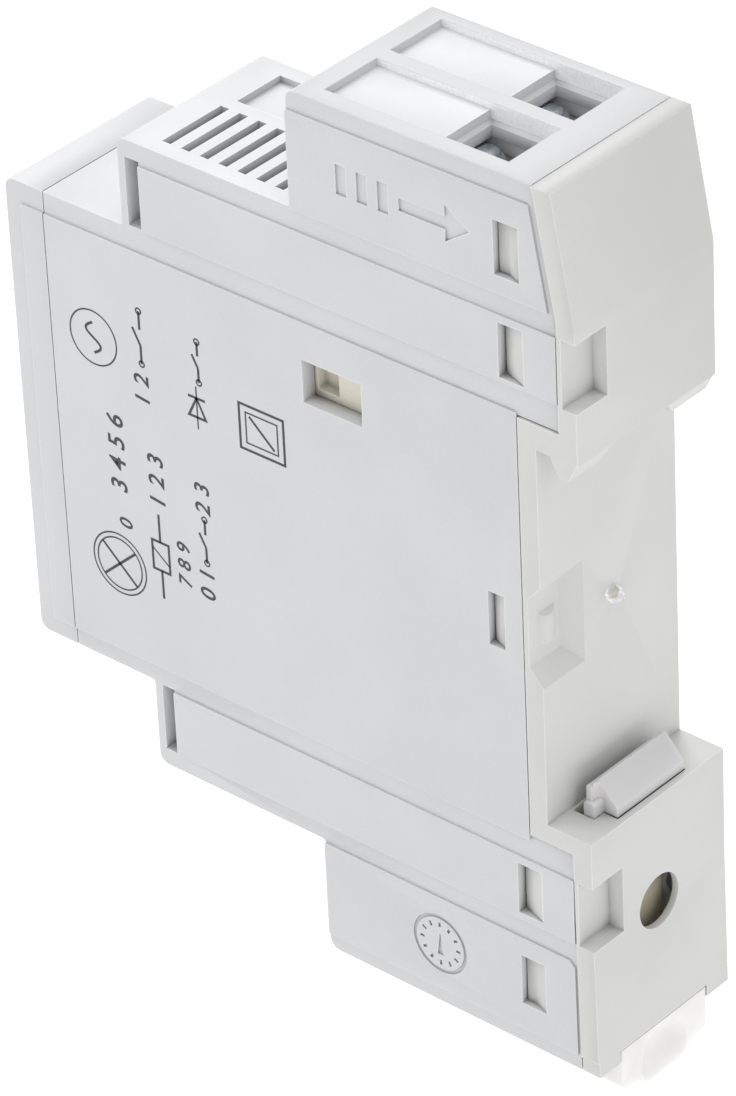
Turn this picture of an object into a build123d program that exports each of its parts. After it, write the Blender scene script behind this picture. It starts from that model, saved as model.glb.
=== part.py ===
from build123d import *
from math import cos, pi, radians, sin
import os

# One-module DIN-rail contactor relay.
# Origin: middle of the rail seat. +Z up, -Y is the front face, +Y faces the rail, +X is the side that
# carries the windows for add-on modules. Millimetres.

# ---- overall sizes -------------------------------------------------------------------------------
HALF_W = 8.75            # half of the 17.5 mm module width
RELIEF = 0.2             # side panels stand proud of the side borders by this
FRONT_Y = -57.9          # front face
CAP_Y = -53.45           # joint between front cap and housing
SHOULDER_Y = -44.4       # front faces of the two shoulders
TERMINAL_Y = -25.25      # front faces of the two terminal sections
FRONT_TOP, FRONT_BOTTOM = 23.2, -22.6
SHOULDER_TOP, SHOULDER_BOTTOM = 31.7, -31.2
TOP, BOTTOM = 42.65, -42.65
CORNER_R = 1.0           # rounding of the stepped profile's outer corners
ENGRAVING = 0.18         # depth of the signs sunk in the side panels

# ---- joint between housing and rear base ---------------------------------------------------------
JOINT_TOP_Y, JOINT_UPPER_Y = 0.15, 2.3
JOINT_CHANNEL_Y = -2.0
JOINT_LOWER_Y, JOINT_BOTTOM_Y = 2.55, 2.85
SLOPE_Z = 31.0           # the upper joint leans forward above this height
CHANNEL_STEP_TOP, CHANNEL_STEP_BOTTOM = 20.85, -20.3
GAP = 0.12               # moulding gap between shells
KNIT = 0.4               # overlap where two blocks of one moulding are fused

# ---- walls and cavities --------------------------------------------------------------------------
WALL_NEAR_X, WALL_FAR_X = 7.25, -7.4     # inner faces of the side walls
FRONT_ROOF, FRONT_FLOOR = 21.9, -21.3    # inside of the front section
CAVITY_Z = 30.2                          # inside of the shoulders
SHOULDER_WALL = 1.5

# ---- rear base -----------------------------------------------------------------------------------
BASE_TOP_Y, BASE_UPPER_Y = 2.2, 4.3
BASE_LOWER_Y, BASE_BOTTOM_Y = 4.65, 4.85
CHANNEL_TOP, LEDGE_Z = 18.4, -18.4
GATE_X, GATE_Z = -0.55, -0.3             # moulding gate in the channel floor
POCKET_Y = -1.4                          # floor of the shallow pocket in the channel
LIP_TIP_Z, LIP_FRONT_Y, LIP_BACK_Y = 16.62, 2.43, 3.25
NOTCH_WEB = 0.42                         # plastic left over the joint inside the two edge notches
CLIP_FRONT_Y, CLIP_STEM_Y = 1.35, 2.45   # front and rear faces of the clip's stem and rails
CLIP_FOOT_Y, CLIP_FOOT_Z = 4.8, -45.9    # rear face and underside of the clip's foot
HEAD_HALF_W = 4.4                        # half width of the clip's wedge
WEB_HALF_W, WEB_Z = 3.0, -34.0           # plate between the spring legs, seen through the round hole

# ---- latch windows in the +X wall: (y0, y1, z0, z1) ------------------------------------------------
LATCH_TERMINAL_TOP = (-3.75, -1.2, 33.3, 38.3)
LATCH_SHOULDER_TOP = (-3.6, -1.05, 23.85, 28.95)
LATCH_MIDDLE = (-5.6, -3.9, -2.55, 2.7)
LATCH_SHOULDER_BOTTOM = (-3.4, -0.8, -28.8, -23.7)
LATCH_TERMINAL_BOTTOM = (-3.35, -0.75, -38.35, -33.3)

# ---- power terminals -----------------------------------------------------------------------------
POLE_X = (3.62, -4.38)
POLE_SCREW_Z = 35.6
POLE_PITCH_R = 2.0       # M4
STRIP_W, STRIP_T = 4.2, 1.0
STRIP_Y = -9.2           # front face of the upright leg inside the cage
STRIP_TOP = 39.65        # the hook's upper face, just inside the wire opening
BUS_Z = 19.2             # underside of the long forward leg
CONTACT_LEG_Y = -33.0    # front face of the leg that carries the fixed tip

# ---- coil terminals ------------------------------------------------------------------------------
COIL_X = -4.4
COIL_SCREW_Z = 25.8
COIL_STRIP_Y = -32.2

# ---- magnet, carrier, contacts -------------------------------------------------------------------
CORE_HALF_X = 3.6
CORE_Z, ARMATURE_Z = 17.5, 18.0
POLE_FACE_Y = -22.2
AIR_GAP = 2.6            # carrier travel
ARMATURE_T = 3.0
OVERTRAVEL = 0.8
TIP_R, TIP_T, TIP_Z = 1.8, 0.9, 9.5
BRIDGE_T = 1.0
RETURN_SPRING_Z = 8.8
DRIVE_HOLE_X = 6.15      # floor of the blind hole that drives an add-on module

ARMATURE_BACK = POLE_FACE_Y - AIR_GAP
ARMATURE_FRONT = ARMATURE_BACK - ARMATURE_T
PLATE_FRONT = ARMATURE_FRONT - 2.6
FIXED_TIP_FACE = CONTACT_LEG_Y - TIP_T
BRIDGE_BACK = FIXED_TIP_FACE - (AIR_GAP - OVERTRAVEL) - TIP_T
BRIDGE_FRONT = BRIDGE_BACK - BRIDGE_T
CARRIER_FRONT = -44.0
SPRING_SEAT_Y = -42.5
BOARD_FRONT, BOARD_BACK = -49.2, -48.2
FLAG_Z, LED_Z = -7.0, 7.5


# ---- helpers -------------------------------------------------------------------------------------
def block(x0, x1, y0, y1, z0, z1):
    """Axis-aligned box between two corners."""
    size = (abs(x1 - x0), abs(y1 - y0), abs(z1 - z0))
    return Pos((x0 + x1) / 2, (y0 + y1) / 2, (z0 + z1) / 2) * Box(*size)


def side_prism(points, x0, x1):
    """Prism along X over an outline given as (y, z) points."""
    face = Plane.YZ.offset(x0) * make_face(Polyline(*points, close=True))
    return extrude(face, amount=x1 - x0)


def plan_prism(points, z0, z1):
    """Prism along Z over an outline given as (x, y) points."""
    face = Plane.XY.offset(z0) * make_face(Polyline(*points, close=True))
    return extrude(face, amount=z1 - z0)


def rod_y(x, z, radius, y0, y1):
    """Cylinder along Y."""
    return Pos(x, (y0 + y1) / 2, z) * Rot(90, 0, 0) * Cylinder(radius, abs(y1 - y0))


def rod_x(y, z, radius, x0, x1):
    """Cylinder along X."""
    return Pos((x0 + x1) / 2, y, z) * Rot(0, 90, 0) * Cylinder(radius, abs(x1 - x0))


def mirror_z(shape):
    """The same shape below the rail's middle plane."""
    return mirror(shape, about=Plane.XY)


def spring_y(x, z, radius, wire, y0, y1, turns):
    """Compression spring along Y between two seats."""
    length = abs(y1 - y0) - 2 * wire
    path = Helix(length / turns, length, radius)
    profile = Plane(origin=path @ 0, z_dir=path % 0) * Circle(wire / 2)
    return Pos(x, max(y0, y1) - wire, z) * Rot(90, 0, 0) * sweep(profile, path)


def solid_of(shapes):
    """Fuse a list of shapes into one."""
    whole = shapes[0]
    for shape in shapes[1:]:
        whole = whole + shape
    return whole


def along_x_at(shape, y, z, tolerance=0.05):
    """Edges parallel to X that pass through (y, z)."""
    def near(edge):
        middle = edge @ 0.5
        return abs(middle.Y - y) < tolerance and abs(middle.Z - z) < tolerance
    return [edge for edge in shape.edges().filter_by(Axis.X) if near(edge)]


def round_profile(shape, corners, radius):
    """Round the corners of a prism along X."""
    edges = [edge for y, z in corners for edge in along_x_at(shape, y, z)]
    return fillet(edges, radius)


# ---- main housing --------------------------------------------------------------------------------
def rear_joint():
    """The line where housing and rear base meet, from top to bottom, as (y, z)."""
    return [(JOINT_TOP_Y, TOP), (JOINT_UPPER_Y, SLOPE_Z), (JOINT_UPPER_Y, CHANNEL_STEP_TOP),
            (JOINT_CHANNEL_Y, CHANNEL_STEP_TOP), (JOINT_CHANNEL_Y, CHANNEL_STEP_BOTTOM),
            (JOINT_LOWER_Y, CHANNEL_STEP_BOTTOM), (JOINT_BOTTOM_Y, BOTTOM)]


def housing_outline():
    upper = [(CAP_Y, FRONT_BOTTOM), (CAP_Y, FRONT_TOP), (SHOULDER_Y, FRONT_TOP),
             (SHOULDER_Y, SHOULDER_TOP), (TERMINAL_Y, SHOULDER_TOP), (TERMINAL_Y, TOP)]
    lower = [(TERMINAL_Y, BOTTOM), (TERMINAL_Y, SHOULDER_BOTTOM), (SHOULDER_Y, SHOULDER_BOTTOM),
             (SHOULDER_Y, FRONT_BOTTOM)]
    return upper + rear_joint() + lower


def side_panels():
    """Raised panels on the +X side, one per section, as prisms."""
    x0, x1 = HALF_W - RELIEF - 0.3, HALF_W
    main = block(x0, x1, CAP_Y, JOINT_CHANNEL_Y, -20.8, 21.1)
    shoulder_top = block(x0, x1, -42.05, JOINT_UPPER_Y, 23.45, 29.65)
    shoulder_bottom = block(x0, x1, -42.1, JOINT_LOWER_Y + 0.05, -29.45, -22.95)
    terminal_top = side_prism([(TERMINAL_Y, 31.6), (TERMINAL_Y, 40.8), (-0.1, 40.8), (1.58, 31.6)],
                              x0, x1)
    terminal_bottom = side_prism(
        [(TERMINAL_Y, -31.45), (1.9, -31.45), (2.5, -32.0), (2.6, -41.1), (TERMINAL_Y, -41.1)], x0, x1)
    return [main, shoulder_top, shoulder_bottom, terminal_top, terminal_bottom]


def housing_shell():
    corners = [(SHOULDER_Y, SHOULDER_TOP), (TERMINAL_Y, TOP), (TERMINAL_Y, BOTTOM),
               (SHOULDER_Y, SHOULDER_BOTTOM)]
    inner_corners = [(SHOULDER_Y, FRONT_TOP), (TERMINAL_Y, SHOULDER_TOP),
                     (TERMINAL_Y, SHOULDER_BOTTOM), (SHOULDER_Y, FRONT_BOTTOM)]
    shell = side_prism(housing_outline(), -HALF_W, HALF_W - RELIEF)
    shell = round_profile(shell, corners, CORNER_R)
    shell = round_profile(shell, inner_corners, 0.35)
    for panel in side_panels():
        shell = shell + panel
    return shell


def housing_cavities():
    """Everything that is hollow inside the tub."""
    rear = 3.0
    front_room = block(WALL_FAR_X, WALL_NEAR_X, CAP_Y - 1, SHOULDER_Y + SHOULDER_WALL,
                       FRONT_FLOOR, FRONT_ROOF)
    middle = block(WALL_FAR_X, WALL_NEAR_X, SHOULDER_Y + SHOULDER_WALL, rear, -CAVITY_Z + 0.5, CAVITY_Z)
    return [front_room, middle]


def coil_terminal_block():
    """Solid corner of the upper shoulder that holds the coil terminal."""
    return block(WALL_FAR_X, -0.7, SHOULDER_Y + SHOULDER_WALL, -26.0, FRONT_ROOF, CAVITY_Z)


def coil_terminal_cuts():
    """Cage chamber, screw bore, strip slot and wire entry of the upper coil terminal."""
    chamber = block(COIL_X - 2.6, COIL_X + 2.6, -38.9, -26.9, 23.1, 28.7)
    slot = block(COIL_X - 1.9, COIL_X + 1.9, -32.4, -31.2, 21.0, 23.5)
    head_bore = rod_y(COIL_X, COIL_SCREW_Z, 2.4, -46.0, -39.9)
    shank_bore = rod_y(COIL_X, COIL_SCREW_Z, 1.7, -40.0, -38.5)
    entry = block(COIL_X - 2.25, COIL_X + 2.25, -31.9, -27.4, 28.0, 33.0)
    lead_in = block(COIL_X - 2.5, COIL_X + 2.5, -32.2, -27.1, 30.2, 33.0)
    return [chamber, slot, head_bore, shank_bore, entry, lead_in]


def power_terminal_cuts(x):
    """Cage chamber, screw bore, strip slot and funnel of one upper power terminal."""
    chamber = block(x - 3.0, x + 3.0, -16.9, 3.0, 32.0, 39.75)
    slot = block(x - 2.3, x + 2.3, -9.4, -7.9, 29.5, 32.2)
    head_bore = rod_y(x, POLE_SCREW_Z, 3.0, TERMINAL_Y - 1, -17.9)
    shank_bore = rod_y(x, POLE_SCREW_Z, 2.2, -18.0, -16.8)
    half_w, front, rear, sill_z, sill = 3.2, -10.7, -3.5, 41.1, 0.3
    ring = block(x - half_w + sill, x + half_w - sill, front + sill, rear - sill, 39.0, 43.0)
    funnel = block(x - half_w, x + half_w, front, rear, sill_z, 43.0)
    rim = Plane(origin=(x, (front + rear) / 2, sill_z), x_dir=(1, 0, 0), z_dir=(0, 0, -1))
    chamfer_cut = extrude(rim * Rectangle(2 * half_w, rear - front), amount=sill, taper=45)
    recess = block(x - half_w, x + half_w, -22.55, rear, TOP - 0.67, 43.0)
    return [chamber, slot, head_bore, shank_bore, ring, funnel, chamfer_cut, recess]


def vent_slots():
    """Row of slots in the upper shoulder, above the near half of the cavity."""
    width, pitch = 0.95, 2.06
    return [block(-0.35, 6.9, -40.8 + i * pitch, -40.8 + i * pitch + width, 29.0, 33.0) for i in range(7)]


def shoulder_recess():
    return block(-7.1, -1.7, -40.25, TERMINAL_Y - 0.4, SHOULDER_TOP - 0.62, 33.0)


def side_windows():
    """Openings in the +X wall: latch windows, carrier window and shoulder slots."""
    x0, x1 = 6.9, HALF_W + 1
    latches = [LATCH_TERMINAL_TOP, LATCH_SHOULDER_TOP, LATCH_MIDDLE, LATCH_SHOULDER_BOTTOM,
               LATCH_TERMINAL_BOTTOM]
    cuts = [block(x0, x1, y0, y1, z0, z1) for y0, y1, z0, z1 in latches]
    cuts.append(block(x0, x1, -24.85, -18.45, 13.4, 17.5))
    cuts.append(block(x0, x1, -43.65, -42.05, 23.45, 30.0))
    cuts.append(block(x0, x1, -43.55, -42.1, -29.5, -22.75))
    return cuts


def engraved_arrow():
    """Arrow that points to the rail, with three bars before it, sunk in the upper terminal panel."""
    middle_z, half_h, floor_x = 36.2, 0.6, HALF_W - ENGRAVING
    shaft = block(floor_x, HALF_W + 1, -13.5, -8.6, middle_z - half_h, middle_z + half_h)
    head = side_prism([(-8.7, middle_z - 1.7), (-8.7, middle_z + 1.7), (-6.2, middle_z)],
                      floor_x, HALF_W + 1)
    bars = [block(floor_x, HALF_W + 1, y, y + 1.1, middle_z - 1.4, middle_z + 1.4)
            for y in (-20.1, -17.9, -15.7)]
    return [shaft, head] + bars


def engraved_dial():
    """Plain mould-date dial sunk in the lower terminal panel: a ring with ticks and a centre pointer."""
    y, z, floor_x, ticks = -12.4, -36.3, HALF_W - ENGRAVING, 12
    ring = rod_x(y, z, 3.0, floor_x, HALF_W + 1) - rod_x(y, z, 2.6, HALF_W - 1, HALF_W + 2)
    pointer = side_prism([(y - 0.35, z - 1.2), (y + 0.35, z - 1.2), (y, z + 1.3)], floor_x, HALF_W + 1)
    tick = block(floor_x, HALF_W + 1, y - 0.14, y + 0.14, z + 1.75, z + 2.25)
    turned = [tick.rotate(Axis((0, y, z), (1, 0, 0)), 360 * i / ticks) for i in range(ticks)]
    return [ring, pointer] + turned


def latch_pockets():
    """Room inside the thicker terminal walls for the base's latch arms."""
    return [block(6.5, 7.3, -4.4, 3.0, z0, z1) for z0, z1 in ((33.0, 38.6), (-38.6, -33.0))]


def main_housing():
    body = housing_shell()
    for cavity in housing_cavities():
        body = body - cavity
    corner = coil_terminal_block()
    body = body + corner + mirror_z(corner)
    cuts = coil_terminal_cuts() + power_terminal_cuts(POLE_X[0]) + power_terminal_cuts(POLE_X[1])
    cuts = cuts + vent_slots() + [shoulder_recess()]
    for cut in cuts:
        body = body - cut - mirror_z(cut)
    for cut in side_windows() + latch_pockets() + engraved_arrow() + engraved_dial():
        body = body - cut
    clip_bay = block(-7.15, 7.15, JOINT_CHANNEL_Y, 4.0, BOTTOM - 1, CHANNEL_STEP_BOTTOM)
    body = body - clip_bay
    for x0, x1 in ((WALL_FAR_X - 0.1, -5.7), (5.7, WALL_NEAR_X + 0.1)):
        rib = block(x0, x1, BOARD_BACK + 0.05, BOARD_BACK + 1.0, 1.0, 5.0)
        body = body + rib + mirror_z(rib)
    return body


# ---- front cap -----------------------------------------------------------------------------------
def front_cap():
    cap = side_prism([(FRONT_Y, FRONT_BOTTOM), (FRONT_Y, FRONT_TOP), (CAP_Y - GAP, FRONT_TOP),
                      (CAP_Y - GAP, FRONT_BOTTOM)], -HALF_W, HALF_W - RELIEF)
    cap = round_profile(cap, [(FRONT_Y, FRONT_TOP), (FRONT_Y, FRONT_BOTTOM)], CORNER_R)
    cap = cap + block(HALF_W - RELIEF - 0.3, HALF_W, -56.1, CAP_Y - GAP, -20.8, 21.15)
    cap = cap - block(WALL_FAR_X, WALL_NEAR_X, FRONT_Y + 1.5, CAP_Y + 1, FRONT_FLOOR, FRONT_ROOF)
    cap = cap - block(-1.6, 1.6, FRONT_Y - 1, FRONT_Y + 2, FLAG_Z - 1.9, FLAG_Z + 1.9)
    cap = cap - rod_y(0, LED_Z, 1.6, FRONT_Y - 1, FRONT_Y + 2)
    cap = cap - block(-6.2, 6.2, FRONT_Y - 1, FRONT_Y + 0.25, 12.0, 20.0)
    for x0, x1 in ((5.6, WALL_NEAR_X - 0.1), (WALL_FAR_X + 0.1, -5.6)):
        finger = block(x0, x1, FRONT_Y + 1, BOARD_FRONT - 0.1, 15.0, 19.0)
        cap = cap + finger + mirror_z(finger)
    return cap


# ---- rear base -----------------------------------------------------------------------------------
def base_upper():
    """Cover above the rail, with an inner layer that nests in the housing's rear opening."""
    outline = [(JOINT_TOP_Y + GAP, TOP), (BASE_TOP_Y, TOP), (BASE_UPPER_Y, SLOPE_Z),
               (BASE_UPPER_Y, CHANNEL_TOP), (0.0, CHANNEL_TOP), (0.0, 12.0), (JOINT_CHANNEL_Y + GAP, 12.0),
               (JOINT_CHANNEL_Y + GAP, CHANNEL_STEP_TOP - GAP),
               (JOINT_UPPER_Y + GAP, CHANNEL_STEP_TOP - GAP), (JOINT_UPPER_Y + GAP, SLOPE_Z)]
    nested = block(WALL_FAR_X + 0.15, WALL_NEAR_X - 0.15, 1.2, JOINT_UPPER_Y + 0.1, 20.0, CAVITY_Z - 0.1)
    return side_prism(outline, -HALF_W, HALF_W) + nested


def hook_lip(x_root, x_tip, x_edge):
    """Lip that grips the rail's upper edge; its inner end tapers from root to tip."""
    outline = [(1.45, CHANNEL_TOP), (1.74, 17.67), (LIP_FRONT_Y, LIP_TIP_Z), (LIP_BACK_Y, LIP_TIP_Z),
               (BASE_UPPER_Y, 18.66), (BASE_UPPER_Y, 18.9), (1.45, 18.9)]
    lip = side_prism(outline, min(x_root, x_edge), max(x_root, x_edge))
    taper = [(x_root, CHANNEL_TOP + 0.4), (x_tip, LIP_TIP_Z), (x_tip, LIP_TIP_Z - 1),
             (x_root, LIP_TIP_Z - 1)]
    wedge = extrude(Plane.XZ.offset(-6.0) * make_face(Polyline(*taper, close=True)), amount=6.0)
    return lip - wedge


def base_channel():
    return block(-HALF_W, HALF_W, JOINT_CHANNEL_Y + GAP, 0.0, -18.5, 12.0)


def base_lower():
    """Ledge, clip guide and rear wall below the rail."""
    ledge = block(-HALF_W, HALF_W, JOINT_CHANNEL_Y + GAP, BASE_LOWER_Y,
                  CHANNEL_STEP_BOTTOM + GAP, LEDGE_Z)
    top = CHANNEL_STEP_BOTTOM + KNIT
    rear = side_prism([(JOINT_LOWER_Y + GAP, top), (BASE_LOWER_Y, top), (BASE_LOWER_Y, -29.0),
                       (BASE_BOTTOM_Y, BOTTOM), (JOINT_BOTTOM_Y + GAP, BOTTOM)], -HALF_W, HALF_W)
    inner = block(-7.05, 7.05, -0.9, 0.1, -41.4, top)
    sides = [block(x0, x1, -0.9, JOINT_LOWER_Y + KNIT, -41.4, top)
             for x0, x1 in ((-7.05, -5.8), (5.8, 7.05))]
    lower = solid_of([ledge, rear, inner] + sides)
    slot = block(-5.75, 5.75, 0.25, CLIP_STEM_Y + 0.08, CHANNEL_STEP_BOTTOM - 1, LEDGE_Z + 1)
    bay = block(-5.75, 5.75, 0.15, JOINT_LOWER_Y + GAP, BOTTOM - 1, CHANNEL_STEP_BOTTOM + KNIT / 2)
    thin = block(-HEAD_HALF_W - 0.1, HEAD_HALF_W + 0.1, 0.25, 4.02, -40.5, LEDGE_Z + 1)
    foot_room = block(-5.85, 5.85, 0.15, 6.0, BOTTOM - 1, -41.45)
    hole = rod_y(0.1, -29.05, 2.58, 3.0, 6.0)
    posts = [block(x0, x1, 1.2, 4.1, -37.6, -36.3) for x0, x1 in ((-4.6, -3.3), (3.3, 4.6))]
    return solid_of([lower - slot - bay - thin - foot_room - hole] + posts)


def base_side_pocket():
    """Shallow pocket in the channel floor, open to the +X side, with sloping ends."""
    pocket = block(4.75, HALF_W + 1, POCKET_Y, 1.0, -3.15, 3.45)
    run_top = side_prism([(POCKET_Y, -3.15), (0.0, -4.78), (1.0, -4.78), (1.0, 5.12), (0.0, 5.12),
                          (POCKET_Y, 3.45)], 3.3, 3.3 + HALF_W)
    slope = plan_prism([(4.75, POCKET_Y), (3.3, 0.05), (3.3, 1.0), (HALF_W + 1, 1.0),
                        (HALF_W + 1, POCKET_Y)], -4.78, 5.12)
    return pocket + (run_top & slope)


def pocket_boss():
    """Low half-round boss on the pocket's floor, with a sloping top."""
    x, rise, radius, bottom, top = 6.48, 0.45, 1.5, -1.55, 1.5
    outline = [(POCKET_Y - 0.2, bottom), (POCKET_Y - 0.2, top), (POCKET_Y, top),
               (POCKET_Y + rise, top - rise), (POCKET_Y + rise, bottom)]
    post = Pos(x, POCKET_Y + rise - radius, (bottom + top) / 2) * Cylinder(radius, top - bottom)
    return post & side_prism(outline, x - radius, x + radius)


def latch_arm(window, x_inner, x_outer, root_y, front_depth, flat, rear_depth):
    """Snap arm: a tongue inside the wall, with a nose that fills its window and rises to the rear edge.

    front_depth and rear_depth are the nose's depths below the panel, and flat is the level stretch
    before the ramp.
    """
    y0, y1, z0, z1 = window
    play = 0.06
    tongue = block(x_inner, x_outer, y0 + 0.3, root_y, z0 + 0.4, z1 - 0.4)
    low, high = HALF_W - front_depth, HALF_W - rear_depth
    front, rear = y0 + 2 * play, y1 - play
    outline = [(x_outer - 0.3, front), (low, front), (low, front + flat), (high, rear),
               (x_outer - 0.3, rear)]
    if flat == 0:
        outline.pop(2)
    return tongue + plan_prism(outline, z0 + play, z1 - play)


def base_latches():
    return [latch_arm(LATCH_TERMINAL_TOP, 6.7, 7.2, 1.6, 0.6, 1.0, 0.12),
            latch_arm(LATCH_SHOULDER_TOP, 6.3, 7.15, 2.8, 0.88, 0, 0.08),
            latch_arm(LATCH_MIDDLE, 6.4, 7.15, -1.5, 0.75, 0, 0.22),
            latch_arm(LATCH_SHOULDER_BOTTOM, 6.3, 7.0, 0.0, 0.88, 0, 0.08),
            latch_arm(LATCH_TERMINAL_BOTTOM, 6.7, 7.0, 0.0, 0.6, 1.0, 0.12)]


def rear_base():
    base = base_upper() + base_channel() + base_lower()
    base = base + hook_lip(3.6, 4.8, HALF_W) + hook_lip(-2.45, -4.4, -HALF_W)
    base = base - block(4.85, HALF_W + 1, JOINT_UPPER_Y + GAP + NOTCH_WEB, 6.0, 23.25, 29.65)
    base = base - block(4.8, HALF_W + 1, JOINT_LOWER_Y + GAP + NOTCH_WEB, 6.0, -29.45, -22.9)
    base = base - base_side_pocket() + pocket_boss()
    base = base - rod_y(GATE_X, GATE_Z, 0.7, -0.35, 1.0)
    for arm in base_latches():
        base = base + arm
    return base - block(HALF_W - RELIEF, HALF_W + 1, -1.0, 6.0, BOTTOM - 1, -41.1)


# ---- rail clip -----------------------------------------------------------------------------------
def clip_head():
    """Wedge that grips the rail's lower edge, with a thin fin and the stem's shoulder at its +X end."""
    low_z = LEDGE_Z - 2.5
    outline = [(1.82, -15.4), (1.97, -15.32), (3.88, -17.5), (3.93, LEDGE_Z + 0.06), (1.82, LEDGE_Z + 0.06)]
    wedge = side_prism(outline, -HEAD_HALF_W, HEAD_HALF_W)
    stem = block(-HEAD_HALF_W + 0.1, 5.65, CLIP_FRONT_Y, CLIP_STEM_Y, low_z, -17.0)
    rounded = along_x_at(stem, CLIP_STEM_Y, -17.0) + along_x_at(stem, CLIP_FRONT_Y, -17.0)
    stem = fillet(rounded, 0.3)
    far_stem = block(-5.65, 0, CLIP_FRONT_Y, CLIP_STEM_Y, low_z, LEDGE_Z - 0.04)
    fin = block(-HEAD_HALF_W, 5.35, 1.42, 1.95, -17.3, -15.65)
    web_r = 0.65
    web = block(HEAD_HALF_W - 0.1, HEAD_HALF_W + web_r, 1.9, 1.95 + web_r, LEDGE_Z + 0.06, -15.4)
    web = web - Pos(HEAD_HALF_W + web_r, 1.95 + web_r, -17) * Cylinder(web_r, 4)
    web = web & side_prism(outline, HEAD_HALF_W - 0.1, HEAD_HALF_W + web_r)
    return solid_of([wedge, stem, far_stem, fin, web])


def clip_tab():
    """Pull tab below the base: a foot with a rounded tongue and a dished thumb grip."""
    foot = block(-5.7, 5.7, CLIP_FRONT_Y, CLIP_FOOT_Y, CLIP_FOOT_Z, -41.6)
    foot = fillet([edge for edge in foot.edges().filter_by(Axis.Y) if (edge @ 0.5).Z < -45], 0.9)
    root_z = CLIP_FOOT_Z + 0.6
    rim = ThreePointArc((3.7, CLIP_FOOT_Z + 0.05), (0, CLIP_FOOT_Z - 1.55), (-3.7, CLIP_FOOT_Z + 0.05))
    sides = Polyline((-3.7, CLIP_FOOT_Z + 0.05), (-3.7, root_z), (3.7, root_z), (3.7, CLIP_FOOT_Z + 0.05))
    tongue = extrude(Plane.XZ.offset(-CLIP_FOOT_Y) * make_face([rim, sides]), amount=2.4)
    dish_r, dish_out = 4.2, 2.9
    return foot + tongue - Pos(0, CLIP_FOOT_Y + dish_out, -44.9) * Sphere(dish_r)


def rail_clip():
    rails = [block(x0, x1, CLIP_FRONT_Y, CLIP_STEM_Y, -41.7, -20.0)
             for x0, x1 in ((-5.65, -4.95), (4.95, 5.65))]
    top_bar = block(-5.65, 5.65, CLIP_FRONT_Y, CLIP_STEM_Y, -22.0, LEDGE_Z - 0.1)
    web = block(-WEB_HALF_W, WEB_HALF_W, CLIP_FRONT_Y, CLIP_STEM_Y, WEB_Z, -21.9)
    return solid_of([clip_head(), top_bar, web, clip_tab()] + rails)


def clip_spring_legs():
    """Two wavy legs between the clip's top bar and the base's posts."""
    top, bottom, bends = -22.05, -36.25, 6
    step = (top - bottom) / bends
    legs = []
    for side in (-1, 1):
        points = [(side * (4.0 + 0.45 * (-1) ** i), 1.9, top - i * step) for i in range(bends + 1)]
        points[0] = (side * 4.0, 1.9, top)
        points[-1] = (side * 4.0, 1.9, bottom)
        path = Spline(*points, tangents=[(0, 0, -1), (0, 0, -1)])
        profile = Plane(origin=path @ 0, z_dir=path % 0) * Rectangle(0.45, 0.8)
        legs.append(sweep(profile, path))
    return Compound(children=legs)


# ---- magnet and coil -----------------------------------------------------------------------------
def magnet_core():
    """Laminated E core: back yoke, centre leg through the bobbin and two outer legs."""
    yoke = block(-CORE_HALF_X, CORE_HALF_X, -6.6, -3.2, -CORE_Z, CORE_Z)
    legs = [block(-CORE_HALF_X, CORE_HALF_X, POLE_FACE_Y, -6.5, z0, z1)
            for z0, z1 in ((-CORE_Z, -13.2), (-3.2, 3.2), (13.2, CORE_Z))]
    return solid_of([yoke] + legs)


def core_cushion():
    pad = block(-CORE_HALF_X, CORE_HALF_X, -3.15, JOINT_CHANNEL_Y - 0.02, -15.0, 15.0)
    return fillet(pad.edges().filter_by(Axis.Y), 1.0)


def armature():
    plate = block(-CORE_HALF_X, CORE_HALF_X, ARMATURE_FRONT, ARMATURE_BACK, -ARMATURE_Z, ARMATURE_Z)
    for z in (RETURN_SPRING_Z, -RETURN_SPRING_Z):
        plate = plate - rod_y(0, z, 2.2, ARMATURE_FRONT - 1, ARMATURE_BACK + 1)
    return plate


def coil_bobbin():
    front, back = -21.9, -6.8
    tube = block(-4.5, 4.5, front, back, -4.1, 4.1)
    flanges = [block(-6.5, 6.5, y, y + 0.8, -12.6, 12.6) for y in (front, back - 0.8)]
    lugs = [block(-7.25, -6.4, front, front + 2.0, z - 0.8, z + 0.8) for z in (-6.8, 6.8)]
    whole = solid_of([tube] + flanges + lugs)
    whole = whole - block(-3.65, 3.65, front - 1, back + 1, -3.25, 3.25)
    for z in (-6.8, 6.8):
        whole = whole - rod_y(-6.9, z, 0.3, front - 1, front + 1.5)
    return whole


def coil_winding():
    outer = block(-6.1, 6.1, -21.05, -7.65, -12.0, 12.0)
    outer = fillet(outer.edges().filter_by(Axis.Y), 1.5)
    return outer - block(-4.52, 4.52, -22, -7, -4.12, 4.12)


def coil_tape():
    outer = block(-6.3, 6.3, -20.9, -7.8, -12.2, 12.2)
    outer = fillet(outer.edges().filter_by(Axis.Y), 1.6)
    inner = block(-6.12, 6.12, -22, -7, -12.02, 12.02)
    return outer - fillet(inner.edges().filter_by(Axis.Y), 1.5)


def coil_leads():
    return Compound(children=[rod_y(-6.9, z, 0.28, BOARD_BACK + 0.02, -20.5) for z in (-6.8, 6.8)])


def return_spring(z):
    return spring_y(0, z, 1.6, 0.4, -21.95, ARMATURE_FRONT - 0.02, 5)


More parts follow.
